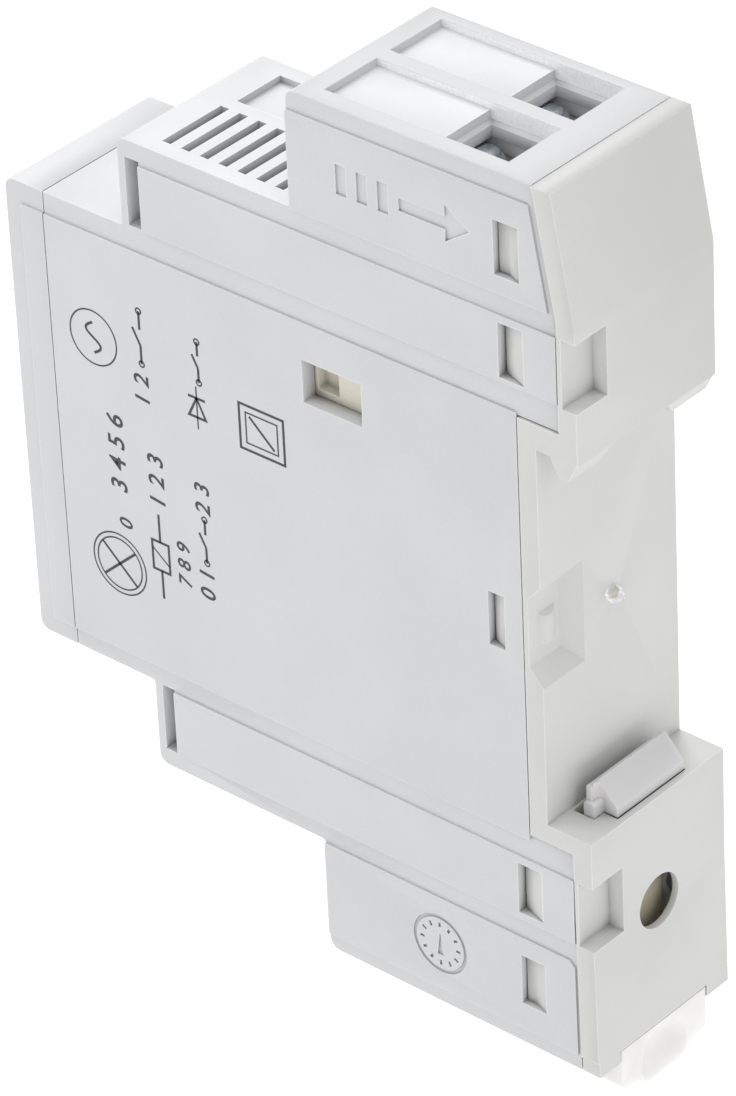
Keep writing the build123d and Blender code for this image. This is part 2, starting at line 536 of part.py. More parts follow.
# ---- contact carrier -----------------------------------------------------------------------------
def carrier_block():
    """Front part with a window for each bridge, joined to the plate by a neck."""
    body = block(-6.95, 6.9, CARRIER_FRONT, PLATE_FRONT + 0.1, -5.2, 5.2)
    for x in POLE_X:
        body = body - block(x - 2.3, x + 2.3, SPRING_SEAT_Y, BRIDGE_BACK, -6, 6)
    return body


def carrier_arms():
    """Four arms that reach back along the side walls; the upper +X one has the square drive hole."""
    arms = []
    for x0, x1 in ((5.95, 7.15), (-7.1, -6.0)):
        for z0, z1 in ((12.9, 18.4), (-18.4, -12.9)):
            arms.append(block(x0, x1, ARMATURE_FRONT - 0.2, -16.5, z0, z1))
    return arms


def contact_carrier():
    plate = block(-6.4, 6.6, PLATE_FRONT, ARMATURE_FRONT - 0.03, -18.5, 18.5)
    bosses = [block(x0, x1, PLATE_FRONT, ARMATURE_FRONT - 0.03, z0, z1)
              for x0, x1 in ((6.0, 7.15), (-7.1, -6.0)) for z0, z1 in ((12.9, 18.4), (-18.4, -12.9))]
    lips = []
    for side in (-1, 1):
        z_in, z_out = side * (ARMATURE_Z + 0.05), side * 18.7
        lips.append(block(-3.4, 3.4, ARMATURE_FRONT - 0.2, ARMATURE_BACK + 0.5, z_in, z_out))
        lips.append(block(-3.4, 3.4, ARMATURE_BACK + 0.02, ARMATURE_BACK + 0.5, z_in - side * 0.4, z_out))
    carrier = solid_of([plate, carrier_block()] + bosses + carrier_arms() + lips)
    carrier = carrier - block(DRIVE_HOLE_X, 8.0, -24.55, -22.3, 14.05, 16.6)
    return carrier - block(-1.05, 1.05, CARRIER_FRONT - 1, CARRIER_FRONT + 1.2, FLAG_Z + 2.2, FLAG_Z + 4.2)


def indicator_flag():
    """Coloured flag on the carrier's nose; its tip sits in the front cap's window."""
    tip = block(-1.4, 1.4, FRONT_Y + 0.5, FRONT_Y + 2.6, FLAG_Z - 1.7, FLAG_Z + 1.7)
    stem = block(-1.0, 1.0, FRONT_Y + 2.5, CARRIER_FRONT + 1.1, FLAG_Z + 2.3, FLAG_Z + 4.1)
    knee = block(-1.0, 1.0, FRONT_Y + 2.5, FRONT_Y + 4.0, FLAG_Z - 1.7, FLAG_Z + 4.1)
    return solid_of([tip, knee, stem])


def contact_bridge(x):
    bar = block(x - 2.1, x + 2.1, BRIDGE_FRONT, BRIDGE_BACK, -11.4, 11.4)
    return fillet(bar.edges().filter_by(Axis.Y), 1.0)


def bridge_tips(x):
    return Compound(children=[rod_y(x, z, TIP_R, BRIDGE_BACK, BRIDGE_BACK + TIP_T) for z in (-TIP_Z, TIP_Z)])


def contact_spring(x):
    return spring_y(x, 0, 1.5, 0.45, BRIDGE_FRONT - 0.02, SPRING_SEAT_Y + 0.02, 4)


# ---- power terminals -----------------------------------------------------------------------------
def power_strip(x):
    """Bus strip: lead-in hook, upright leg in the cage, long forward leg, contact leg."""
    t, top = STRIP_T, STRIP_TOP
    back, hook_y, hook_z, tip_z = STRIP_Y + t, -10.7, top - 0.8, TIP_Z - 2.0
    outline = [(hook_y, top), (back, top), (back, BUS_Z), (CONTACT_LEG_Y + t, BUS_Z),
               (CONTACT_LEG_Y + t, tip_z), (CONTACT_LEG_Y, tip_z), (CONTACT_LEG_Y, BUS_Z + t),
               (STRIP_Y, BUS_Z + t), (STRIP_Y, hook_z), (hook_y, hook_z)]
    strip = side_prism(outline, x - STRIP_W / 2, x + STRIP_W / 2)
    strip = round_profile(strip, [(back, top)], 1.3)
    return round_profile(strip, [(STRIP_Y, hook_z)], 0.4)


def fixed_tip(x):
    return rod_y(x, TIP_Z, TIP_R, FIXED_TIP_FACE, CONTACT_LEG_Y)


def terminal_cage(x, z, half_w, half_h, wall, front, thread_back, back, screw_r):
    """Box clamp: threaded front wall, two side walls and a rear wall that presses the wire."""
    cage = block(x - half_w, x + half_w, front, back, z - half_h, z + half_h)
    inner = block(x - half_w + wall, x + half_w - wall, thread_back, back - 0.9,
                  z - half_h - 1, z + half_h + 1)
    cage = cage - inner - rod_y(x, z, screw_r, front - 1, thread_back + 1)
    uprights = [edge for edge in cage.edges().filter_by(Axis.Z)
                if abs((edge @ 0.5).Y - back) < 0.01 or abs((edge @ 0.5).Y - front) < 0.01]
    return fillet(uprights, 0.5)


def power_cage(x):
    return terminal_cage(x, POLE_SCREW_Z, 2.9, 2.9, 0.65, -13.0, -10.95, -2.9, POLE_PITCH_R + 0.05)


def terminal_screw(x, z, shank_r, head_r, head_front, head_back, tip, slot_w):
    """Captive clamp screw with a slotted cross recess."""
    screw = rod_y(x, z, shank_r, head_back - 0.1, tip) + rod_y(x, z, head_r, head_front, head_back)
    screw = screw - block(x - head_r - 1, x + head_r + 1, head_front - 1, head_front + 1.1,
                          z - slot_w / 2, z + slot_w / 2)
    return screw - block(x - slot_w / 2, x + slot_w / 2, head_front - 1, head_front + 1.1,
                         z - head_r * 0.62, z + head_r * 0.62)


def power_screw(x):
    return terminal_screw(x, POLE_SCREW_Z, POLE_PITCH_R, 2.75, -20.2, -17.95, -9.5, 0.8)


# ---- coil terminals ------------------------------------------------------------------------------
def coil_strip():
    t, half_w = 0.6, 1.7
    pad = BOARD_BACK + 0.02
    outline = [(COIL_STRIP_Y, 27.9), (COIL_STRIP_Y, 21.2), (pad, 21.2), (pad, 19.4), (pad + t, 19.4),
               (pad + t, 20.6), (COIL_STRIP_Y + t, 20.6), (COIL_STRIP_Y + t, 27.9)]
    return side_prism(outline, COIL_X - half_w, COIL_X + half_w)


def coil_cage():
    return terminal_cage(COIL_X, COIL_SCREW_Z, 2.5, 2.3, 0.6, -36.3, -34.2, -27.2, 1.55)


def coil_screw():
    return terminal_screw(COIL_X, COIL_SCREW_Z, 1.5, 2.2, -41.7, -39.95, -32.5, 0.6)


# ---- electronics ---------------------------------------------------------------------------------
def circuit_board():
    board = block(-6.3, 6.2, BOARD_FRONT, BOARD_BACK, -20.2, 20.2)
    return board - block(-1.5, 1.5, BOARD_FRONT - 1, BOARD_BACK + 1, FLAG_Z + 1.6, FLAG_Z + 4.8)


def bridge_rectifier():
    return block(-3.0, 3.2, BOARD_BACK, BOARD_BACK + 2.4, 8.0, 13.0)


def varistor():
    disc = rod_y(0.5, -12.0, 3.4, BOARD_BACK, BOARD_BACK + 2.6)
    return fillet(disc.edges().filter_by(GeomType.CIRCLE), 0.6)


def film_capacitor():
    box = block(-0.5, 5.5, BOARD_BACK, BOARD_BACK + 3.0, 14.2, 18.0)
    return fillet(box.edges(), 0.3)


def status_led():
    return block(-1.0, 1.0, BOARD_FRONT - 0.9, BOARD_FRONT, LED_Z - 0.7, LED_Z + 0.7)


def light_pipe():
    lens = rod_y(0, LED_Z, 1.55, FRONT_Y + 0.1, FRONT_Y + 1.6)
    return lens + rod_y(0, LED_Z, 1.1, FRONT_Y + 1.5, BOARD_FRONT - 1.1)


# ---- all nodes -----------------------------------------------------------------------------------
def all_nodes():
    nodes = {
        "main_housing": main_housing(), "front_cap": front_cap(), "rear_base": rear_base(),
        "rail_clip": rail_clip(), "clip_spring_legs": clip_spring_legs(),
        "magnet_core": magnet_core(), "core_cushion": core_cushion(), "armature": armature(),
        "coil_bobbin": coil_bobbin(), "coil_winding": coil_winding(), "coil_tape": coil_tape(),
        "coil_leads": coil_leads(), "return_spring_upper": return_spring(RETURN_SPRING_Z),
        "return_spring_lower": return_spring(-RETURN_SPRING_Z), "contact_carrier": contact_carrier(),
        "indicator_flag": indicator_flag(), "circuit_board": circuit_board(),
        "bridge_rectifier": bridge_rectifier(), "varistor": varistor(), "film_capacitor": film_capacitor(),
        "status_led": status_led(), "light_pipe": light_pipe(),
        "coil_strip_a1": coil_strip(), "coil_cage_a1": coil_cage(), "coil_screw_a1": coil_screw(),
        "coil_strip_a2": mirror_z(coil_strip()), "coil_cage_a2": mirror_z(coil_cage()),
        "coil_screw_a2": mirror_z(coil_screw()),
    }
    for pole, x in enumerate(POLE_X, start=1):
        nodes[f"contact_bridge_{pole}"] = contact_bridge(x)
        nodes[f"bridge_tips_{pole}"] = bridge_tips(x)
        nodes[f"contact_spring_{pole}"] = contact_spring(x)
        line, load = 2 * pole - 1, 2 * pole
        for number, place in ((line, lambda s: s), (load, mirror_z)):
            nodes[f"power_strip_{number}"] = place(power_strip(x))
            nodes[f"fixed_tip_{number}"] = place(fixed_tip(x))
            nodes[f"power_cage_{number}"] = place(power_cage(x))
            nodes[f"power_screw_{number}"] = place(power_screw(x))
    return nodes


os.makedirs("parts", exist_ok=True)
for name, shape in all_nodes().items():
    shape.label = name
    export_step(shape, f"parts/{name}.step")
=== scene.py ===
import math

import bmesh
import bpy
from mathutils import Matrix, Vector, noise


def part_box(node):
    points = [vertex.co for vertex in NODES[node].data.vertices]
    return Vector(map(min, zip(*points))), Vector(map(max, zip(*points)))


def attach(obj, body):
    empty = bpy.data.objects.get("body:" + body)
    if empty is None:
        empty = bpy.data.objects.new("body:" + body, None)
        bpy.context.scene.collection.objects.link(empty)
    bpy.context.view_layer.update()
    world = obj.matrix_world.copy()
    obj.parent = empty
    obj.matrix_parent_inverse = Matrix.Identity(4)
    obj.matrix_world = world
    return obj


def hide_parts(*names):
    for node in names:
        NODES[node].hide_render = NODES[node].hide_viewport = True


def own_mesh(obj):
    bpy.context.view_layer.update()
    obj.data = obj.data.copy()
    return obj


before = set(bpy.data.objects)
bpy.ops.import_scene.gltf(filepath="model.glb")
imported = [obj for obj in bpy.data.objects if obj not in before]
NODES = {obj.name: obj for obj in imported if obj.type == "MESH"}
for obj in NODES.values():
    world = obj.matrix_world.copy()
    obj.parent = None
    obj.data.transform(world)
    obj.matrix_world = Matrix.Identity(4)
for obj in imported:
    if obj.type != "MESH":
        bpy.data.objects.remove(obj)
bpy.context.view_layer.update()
MM = 0.001

# ---- materials -----------------------------------------------------------------------------------


class Nodes:
    """Small helper that builds one material's node tree."""

    def __init__(self, name):
        self.material = bpy.data.materials.new(name)
        self.material.use_nodes = True
        self.tree = self.material.node_tree
        self.shader = self.tree.nodes["Principled BSDF"]
        self.coords = self.tree.nodes.new("ShaderNodeTexCoord").outputs["Object"]

    def add(self, kind, inputs=None, **settings):
        node = self.tree.nodes.new(kind)
        for key, value in settings.items():
            setattr(node, key, value)
        for key, value in (inputs or {}).items():
            if isinstance(value, bpy.types.NodeSocket):
                self.tree.links.new(value, node.inputs[key])
            else:
                node.inputs[key].default_value = value
        return node

    def noise(self, feature_mm, detail=2.0, roughness=0.5, stretch=None):
        """Noise whose features are about feature_mm across."""
        vector = self.coords
        if stretch:
            vector = self.add("ShaderNodeMapping", {"Vector": vector, "Scale": stretch}).outputs["Vector"]
        return self.add("ShaderNodeTexNoise", {
            "Vector": vector, "Scale": 1.0 / (feature_mm * MM), "Detail": detail,
            "Roughness": roughness}).outputs["Fac"]

    def remap(self, value, low, high, out_low, out_high):
        return self.add("ShaderNodeMapRange", {
            "Value": value, "From Min": low, "From Max": high,
            "To Min": out_low, "To Max": out_high}).outputs["Result"]

    def mix(self, factor, first, second):
        node = self.add("ShaderNodeMix", data_type="RGBA")
        for index, value in ((0, factor), (6, first), (7, second)):
            if isinstance(value, bpy.types.NodeSocket):
                self.tree.links.new(value, node.inputs[index])
            else:
                node.inputs[index].default_value = value
        return node.outputs[2]

    def math(self, operation, first, second):
        node = self.add("ShaderNodeMath", operation=operation)
        for index, value in enumerate((first, second)):
            if isinstance(value, bpy.types.NodeSocket):
                self.tree.links.new(value, node.inputs[index])
            else:
                node.inputs[index].default_value = value
        return node.outputs[0]

    def bump(self, height, depth_mm):
        """Relief from a 0..1 height, depth_mm deep."""
        inputs = {"Height": height, "Distance": depth_mm * MM, "Strength": 1.0}
        return self.add("ShaderNodeBump", inputs).outputs["Normal"]

    def place(self, axis):
        """One coordinate of the shaded point, in metres: 0, 1 or 2 for x, y or z."""
        return self.add("ShaderNodeSeparateXYZ", {"Vector": self.coords}).outputs[axis]

    def stripes(self, axis, pitch_mm, share):
        """1 on a line that takes `share` of every pitch along the axis, 0 between lines."""
        turns = self.math("DIVIDE", self.place(axis), pitch_mm * MM)
        return self.math("LESS_THAN", self.math("FRACT", turns, 0.0), share)

    def waves(self, axis, pitch_mm):
        """Smooth 0..1 ripple along an axis, as laid wires make."""
        turns = self.math("MULTIPLY", self.place(axis), 2 * math.pi / (pitch_mm * MM))
        return self.remap(self.math("SINE", turns, 0.0), -1.0, 1.0, 0.0, 1.0)

    def inside(self, low_mm, high_mm, soft_mm=0.05):
        """1 inside an axis-aligned box and 0 outside, with soft edges."""
        total = None
        for axis in range(3):
            at = self.place(axis)
            rise = self.remap(at, (low_mm[axis] - soft_mm) * MM, (low_mm[axis] + soft_mm) * MM, 0.0, 1.0)
            fall = self.remap(at, (high_mm[axis] - soft_mm) * MM, (high_mm[axis] + soft_mm) * MM, 1.0, 0.0)
            both = self.math("MULTIPLY", rise, fall)
            total = both if total is None else self.math("MULTIPLY", total, both)
        return total

    def facing(self, axis, low, high):
        """1 where the surface faces along +axis, 0 where it doesn't."""
        normal = self.add("ShaderNodeNewGeometry").outputs["Normal"]
        return self.remap(self.add("ShaderNodeSeparateXYZ", {"Vector": normal}).outputs[axis],
                          low, high, 0.0, 1.0)

    def enclosed(self, reach_mm, inside=False):
        """0 in the open and nearly 1 deep in a corner; inside, it rises at the body's own outer edges."""
        node = self.add("ShaderNodeAmbientOcclusion", {"Distance": reach_mm * MM},
                        samples=6, inside=inside, only_local=inside)
        return self.math("SUBTRACT", 1.0, node.outputs["AO"])

    def specks(self, spacing_mm, size_mm, kept):
        """1 on sparse round specks: one cell in every 1/kept has a speck size_mm across."""
        cell = self.add("ShaderNodeTexVoronoi", {"Vector": self.coords, "Scale": 1.0 / (spacing_mm * MM)})
        near = self.math("LESS_THAN", cell.outputs["Distance"], 0.5 * size_mm / spacing_mm)
        chance = self.add("ShaderNodeSeparateXYZ", {"Vector": cell.outputs["Color"]}).outputs[0]
        return self.math("MULTIPLY", near, self.math("LESS_THAN", chance, kept))

    def set(self, **values):
        """Constant or linked values on the shader; underscores stand for spaces."""
        for key, value in values.items():
            socket = self.shader.inputs[key.replace("_", " ")]
            if isinstance(value, bpy.types.NodeSocket):
                self.tree.links.new(value, socket)
            else:
                socket.default_value = value
        return self


def grey(value, tint=(1.0, 1.0, 1.0)):
    return tuple(value * t for t in tint) + (1.0,)


def shade(colour, factor):
    return tuple(min(1.0, c * factor) for c in colour[:3]) + (1.0,)


GRAIN_DEPTH_MM = 0.018             # relief of the spark-eroded grain


def plastic_tone(n, colour, grain, variation):
    """Mottled grain, slow clouding, sparse specks, painted highlights on the outer edges and painted shade
    deep in the corners.
    """
    cloud = n.noise(9.0, detail=2.0)
    amount = n.math("ADD", n.remap(grain, 0.3, 0.7, 0.0, 0.6), n.remap(cloud, 0.35, 0.65, 0.0, 0.4))
    tone = n.mix(amount, shade(colour, 1 - variation), shade(colour, 1 + variation))
    tone = n.mix(n.math("MULTIPLY", n.specks(0.9, 0.09, 0.4), 0.35), tone, shade(colour, 1.25))
    tone = n.mix(n.math("MULTIPLY", n.specks(7.0, 0.22, 0.12), 0.45), tone, shade(colour, 0.3))
    # Painted highlight: the body's outer edges are coloured paler, as if they catch the light.
    painted_edge_highlight = n.math("MULTIPLY", n.remap(n.enclosed(0.16, inside=True), 0.12, 0.5, 0.0, 0.75),
                    n.remap(grain, 0.3, 0.6, 0.55, 1.0))
    tone = n.mix(painted_edge_highlight, tone, shade(colour, 1.4))
    # Painted shade: the colour turns dark brown-grey deep in corners and recesses.
    painted_corner_shade = n.remap(n.enclosed(1.5), 0.3, 0.95, 0.0, 0.85)
    return n.mix(painted_corner_shade, tone, shade((colour[0], colour[1] * 0.97, colour[2] * 0.9), 0.3))


def painted_top_shade(n, tone, colour):
    """Painted shade: the top face of the terminal block is coloured a little darker than the grained sides.
    """
    top = n.math("MULTIPLY", n.inside((-9, -26, 42.6), (9, 3, 43), 0.02), n.facing(2, 0.6, 0.9))
    return n.mix(top, tone, shade(colour, 0.86))


def moulded_plastic(name, colour, variation=0.04, grain_mm=0.16, roughness=0.5, painted_shade_pass=None):
    """Moulded plastic with a fine spark-eroded grain and faint unevenness in tone."""
    n = Nodes(name)
    grain = n.noise(grain_mm, detail=3.0, roughness=0.6)
    tone = plastic_tone(n, colour, grain, variation)
    # An optional pass paints shade onto the tone.
    n.set(Base_Color=painted_shade_pass(n, tone, colour) if painted_shade_pass else tone,
          Roughness=n.remap(grain, 0.3, 0.7, roughness - 0.06, roughness + 0.06),
          Normal=n.bump(grain, GRAIN_DEPTH_MM), Specular_IOR_Level=0.35)
    return n.material


def base_painted_shade(n, tone, colour):
    """Painted shade: the rear of the base's cover above the rail is coloured darker than the rest, most so
    on the far side.
    """
    rear = n.math("MULTIPLY", n.facing(1, 0.6, 0.9), n.remap(n.place(2), 17.5 * MM, 31.5 * MM, 0.45, 1.0))
    cover = n.math("MULTIPLY", rear, n.inside((-9, 1, 16), (9, 5, 43), 0.5))
    cover = n.math("MULTIPLY", cover, n.remap(n.place(0), -4.0 * MM, 8.0 * MM, 1.0, 0.1))
    return painted_top_shade(n, n.mix(cover, tone, n.mix(0.75, tone, shade(colour, 0.86))), colour)


def housing_plastic(colour):
    """Cool light-grey housing, with a coarse grain on the deep walls of the wire recesses, whose colour
    there is brightened to near white as painted light.
    """
    n = Nodes("housing_plastic")
    grain = n.noise(0.16, detail=3.0, roughness=0.6)
    coarse = n.noise(0.3, detail=4.0, roughness=0.8)
    tone = plastic_tone(n, colour, grain, 0.04)
    tone = painted_top_shade(n, tone, colour)
    wall = n.math("MULTIPLY", n.inside((-7.8, -26, 41.14), (7.2, -3.3, 42.62), 0.03), n.facing(0, 0.5, 0.9))
    # Painted light: the deep recess walls are coloured near white, brighter than the rest of the plastic.
    painted_wall_light = n.mix(n.remap(coarse, 0.36, 0.6, 0.0, 1.0), shade(colour, 1.46), shade(colour, 1.66))
    n.set(Base_Color=n.mix(wall, tone, painted_wall_light), Roughness=n.remap(grain, 0.3, 0.7, 0.44, 0.56),
          Normal=n.bump(n.mix(wall, grain, coarse), GRAIN_DEPTH_MM), Specular_IOR_Level=0.35)
    return n.material


def clip_plastic():
    """Milky, slightly translucent plastic, with painted light and shade: greyer at the thick head, whiter
    at the thin pull tab.

    The plate between the spring legs, behind the base's round hole, is coloured brown-grey as painted
    shade.
    """
    n = Nodes("clip_plastic")
    grain = n.noise(0.5, detail=2.0)
    # Painted light and shade: the colour runs from whiter at the tab, lit through from below, to greyer at
    # the head.
    height = n.remap(n.place(2), -41.0 * MM, -22.0 * MM, 0.0, 1.0)
    flow = n.remap(n.noise(3.0, detail=2.0), 0.3, 0.7, 0.0, 0.25)
    tone = n.mix(n.math("ADD", height, flow), grey(0.83, (1.0, 0.99, 0.98)), grey(0.62, (1.0, 0.985, 1.0)))
    # Painted shade: the plate behind the round hole is coloured brown-grey.
    web_shade = n.inside((-3.2, -8.0, -35.0), (3.2, 4.0, -22.5), 0.05)
    tone = n.mix(web_shade, tone, (0.66, 0.61, 0.47, 1.0))
    n.set(Base_Color=tone, Roughness=n.remap(grain, 0.3, 0.7, 0.3, 0.42), Normal=n.bump(grain, 0.006),
          Specular_IOR_Level=0.4, Subsurface_Weight=0.35, Subsurface_Radius=(0.9, 0.85, 0.8),
          Subsurface_Scale=1.2 * MM)
    return n.material


def metal(name, colour, roughness=0.3, lay=None, scratch_mm=0.25, depth_mm=0.002, tarnish=0.12):
    """Metal with a rolled or turned lay: `lay` stretches the scratches along an axis."""
    n = Nodes(name)
    streaks = n.noise(scratch_mm, detail=3.0, stretch=lay or (1, 1, 1))
    cloud = n.noise(2.2, detail=3.0)
    tone = n.mix(n.remap(cloud, 0.35, 0.65, 0.0, 1.0), shade(colour, 1 - tarnish), colour)
    n.set(Base_Color=tone, Metallic=1.0,
          Roughness=n.remap(streaks, 0.3, 0.7, roughness - 0.08, roughness + 0.1),
          Normal=n.bump(streaks, depth_mm))
    return n.material


def laminated_steel():
    """Stacked silicon-steel sheets, seen as fine dark lines across the stack."""
    n = Nodes("laminated_steel")
    joint = n.stripes(0, 0.5, 0.14)
    rust = n.remap(n.noise(1.6, detail=4.0), 0.45, 0.7, 0.0, 0.5)
    tone = n.mix(rust, grey(0.34, (1.0, 0.98, 0.95)), (0.24, 0.17, 0.11, 1.0))
    n.set(Base_Color=n.mix(joint, tone, grey(0.04)), Metallic=0.85,
          Roughness=n.remap(joint, 0, 1, 0.38, 0.8),
          Normal=n.bump(n.math("SUBTRACT", 1.0, joint), 0.05))
    return n.material


def enamelled_wire():
    """Layers of fine enamelled copper wire, laid side by side along the coil, coloured near black between
    the turns as painted shade.
    """
    n = Nodes("enamelled_wire")
    turns = n.waves(1, 0.22)
    # Painted shade: near black in the grooves between the turns.
    tone = n.mix(turns, (0.09, 0.015, 0.006, 1.0), (0.72, 0.24, 0.09, 1.0))
    n.set(Base_Color=n.mix(n.remap(n.noise(1.5), 0.3, 0.7, 0.0, 0.3), tone, (0.3, 0.07, 0.03, 1.0)),
          Metallic=0.6, Roughness=0.28, Normal=n.bump(turns, 0.08), Coat_Weight=0.5, Coat_Roughness=0.15)
    return n.material


def coil_tape_film():
    """Amber polyester tape wound over the coil, creased, with the wire showing through faintly."""
    n = Nodes("coil_tape_film")
    crease = n.noise(1.4, detail=3.0, stretch=(1, 0.25, 1))
    overlap = n.stripes(1, 6.5, 0.04)
    tone = n.mix(n.remap(crease, 0.3, 0.7, 0.0, 1.0), (0.60, 0.36, 0.05, 1.0), (0.80, 0.55, 0.10, 1.0))
    n.set(Base_Color=n.mix(overlap, tone, (0.38, 0.2, 0.03, 1.0)),
          Roughness=n.remap(crease, 0.3, 0.7, 0.18, 0.34),
          Normal=n.bump(crease, 0.05), Coat_Weight=0.4, Coat_Roughness=0.1)
    return n.material


def rubber():
    n = Nodes("cushion_rubber")
    pores = n.noise(0.25, detail=4.0, roughness=0.7)
    tone = n.mix(pores, grey(0.018), grey(0.045))
    n.set(Base_Color=tone, Roughness=n.remap(pores, 0.3, 0.7, 0.7, 0.9), Normal=n.bump(pores, 0.03),
          Specular_IOR_Level=0.3)
    return n.material


def board_laminate():
    """Green solder mask over copper tracks, with glass weave and a bare edge."""
    n = Nodes("board_laminate")
    track_z, track_x = n.stripes(2, 2.54, 0.3), n.stripes(0, 2.54, 0.22)
    where = n.math("GREATER_THAN", n.noise(5.0, detail=0.0), 0.5)
    track = n.math("MAXIMUM", n.math("MULTIPLY", track_z, where),
                   n.math("MULTIPLY", track_x, n.math("SUBTRACT", 1.0, where)))
    weave = n.math("MULTIPLY", n.waves(0, 0.5), n.waves(2, 0.5))
    mask = n.mix(track, (0.012, 0.09, 0.03, 1.0), (0.04, 0.2, 0.06, 1.0))
    edge = n.math("SUBTRACT", 1.0, n.math("MAXIMUM", n.facing(1, 0.5, 0.9), n.facing(1, -0.5, -0.9)))
    tone = n.mix(edge, n.mix(n.math("MULTIPLY", weave, 0.25), mask, (0.02, 0.05, 0.02, 1.0)),
                 (0.42, 0.40, 0.2, 1.0))
    n.set(Base_Color=tone, Roughness=n.remap(weave, 0, 1, 0.22, 0.4),
          Normal=n.bump(n.math("ADD", track, n.math("MULTIPLY", weave, 0.3)), 0.035), Coat_Weight=0.3)
    return n.material


def dipped_resin(name, colour, roughness=0.25, depth_mm=0.06):
    """Resin coat of an electronic part, slightly lumpy and glossy."""
    n = Nodes(name)
    lumps = n.noise(1.1, detail=2.0)
    fine = n.noise(0.2, detail=3.0)
    tone = n.mix(n.remap(lumps, 0.35, 0.65, 0.0, 1.0), shade(colour, 0.85), colour)
    n.set(Base_Color=tone, Roughness=n.remap(fine, 0.3, 0.7, roughness - 0.05, roughness + 0.12),
          Normal=n.bump(lumps, depth_mm), Coat_Weight=0.3, Coat_Roughness=0.2)
    return n.material


def led_package():
    """White LED housing with a yellow phosphor window."""
    n = Nodes("led_package")
    window = n.inside((-0.55, -60, 7.05), (0.55, -49.9, 7.95), 0.06)
    grain = n.noise(0.2)
    tone = n.mix(window, n.mix(grain, grey(0.7), grey(0.8)), (0.85, 0.62, 0.08, 1.0))
    n.set(Base_Color=tone, Roughness=n.remap(grain, 0, 1, 0.3, 0.5), Normal=n.bump(grain, 0.01))
    return n.material


def clear_acrylic():
    n = Nodes("clear_acrylic")
    ripple = n.noise(0.8, detail=2.0)
    n.set(Base_Color=n.mix(ripple, grey(0.93), grey(0.98)), Roughness=n.remap(ripple, 0.3, 0.7, 0.03, 0.12),
          Transmission_Weight=0.9, IOR=1.49, Normal=n.bump(ripple, 0.01))
    return n.material


def marking_ink():
    """Dark-grey laser marking: slightly broken up where the grain shows through."""
    n = Nodes("marking_ink")
    grain = n.noise(0.12, detail=3.0, roughness=0.7)
    n.set(Base_Color=n.mix(n.remap(grain, 0.35, 0.7, 0.0, 1.0), grey(0.045, (1.0, 1.0, 1.06)), grey(0.1)),
          Roughness=n.remap(grain, 0.3, 0.7, 0.55, 0.75), Normal=n.bump(grain, 0.006),
          Specular_IOR_Level=0.3)
    return n.material


GATE_X, GATE_Z = -0.55, -0.3       # middle of the torn gate
STUB_X, STUB_Z, STUB_R = GATE_X + 0.33, GATE_Z + 0.4, 0.6


def torn_gate():
    """Torn plastic of the gate: stress-whitened crumbs round a brownish stub, darkened further as painted
    shade where it is enclosed.
    """
    n = Nodes("torn_gate")
    crumbs = n.noise(0.3, detail=5.0, roughness=0.8)
    beside, above = n.math("SUBTRACT", n.place(0), STUB_X * MM), n.math("SUBTRACT", n.place(2), STUB_Z * MM)
    spread = n.math("ADD", n.math("MULTIPLY", beside, beside), n.math("MULTIPLY", above, above))
    reach = n.math("ADD", n.math("POWER", spread, 0.5), n.math("MULTIPLY", crumbs, 0.35 * MM))
    stub = n.remap(reach, 0.6 * MM, 0.85 * MM, 1.0, 0.0)
    white = n.mix(n.remap(crumbs, 0.3, 0.7, 0.0, 1.0), grey(0.72), grey(0.97))
    stub_brown = n.mix(n.remap(crumbs, 0.35, 0.65, 0.0, 1.0), (0.44, 0.41, 0.35, 1.0), (0.62, 0.60, 0.55, 1.0))
    # Painted shade: the stub is coloured near black where it is enclosed.
    stub_with_painted_shade = n.mix(n.remap(n.enclosed(0.8), 0.2, 0.8, 0.0, 0.9), stub_brown, (0.12, 0.10, 0.08, 1.0))
    n.set(Base_Color=n.mix(stub, white, stub_with_painted_shade), Roughness=n.remap(crumbs, 0.3, 0.7, 0.75, 0.95),
          Normal=n.bump(crumbs, 0.05), Specular_IOR_Level=0.1)
    return n.material


COOL, WARM, CREAM = (0.992, 0.998, 1.012), (1.0, 1.002, 0.982), (1.0, 0.965, 0.82)
ALBEDO = 0.60
STEEL, TIN, BRASS, SILVER, COPPER = (
    grey(0.62, (0.98, 0.99, 1.0)), grey(0.95, (0.91, 0.98, 1.05)), (0.72, 0.50, 0.22, 1.0),
    grey(0.86, (1.0, 0.99, 0.96)), (0.78, 0.38, 0.22, 1.0))

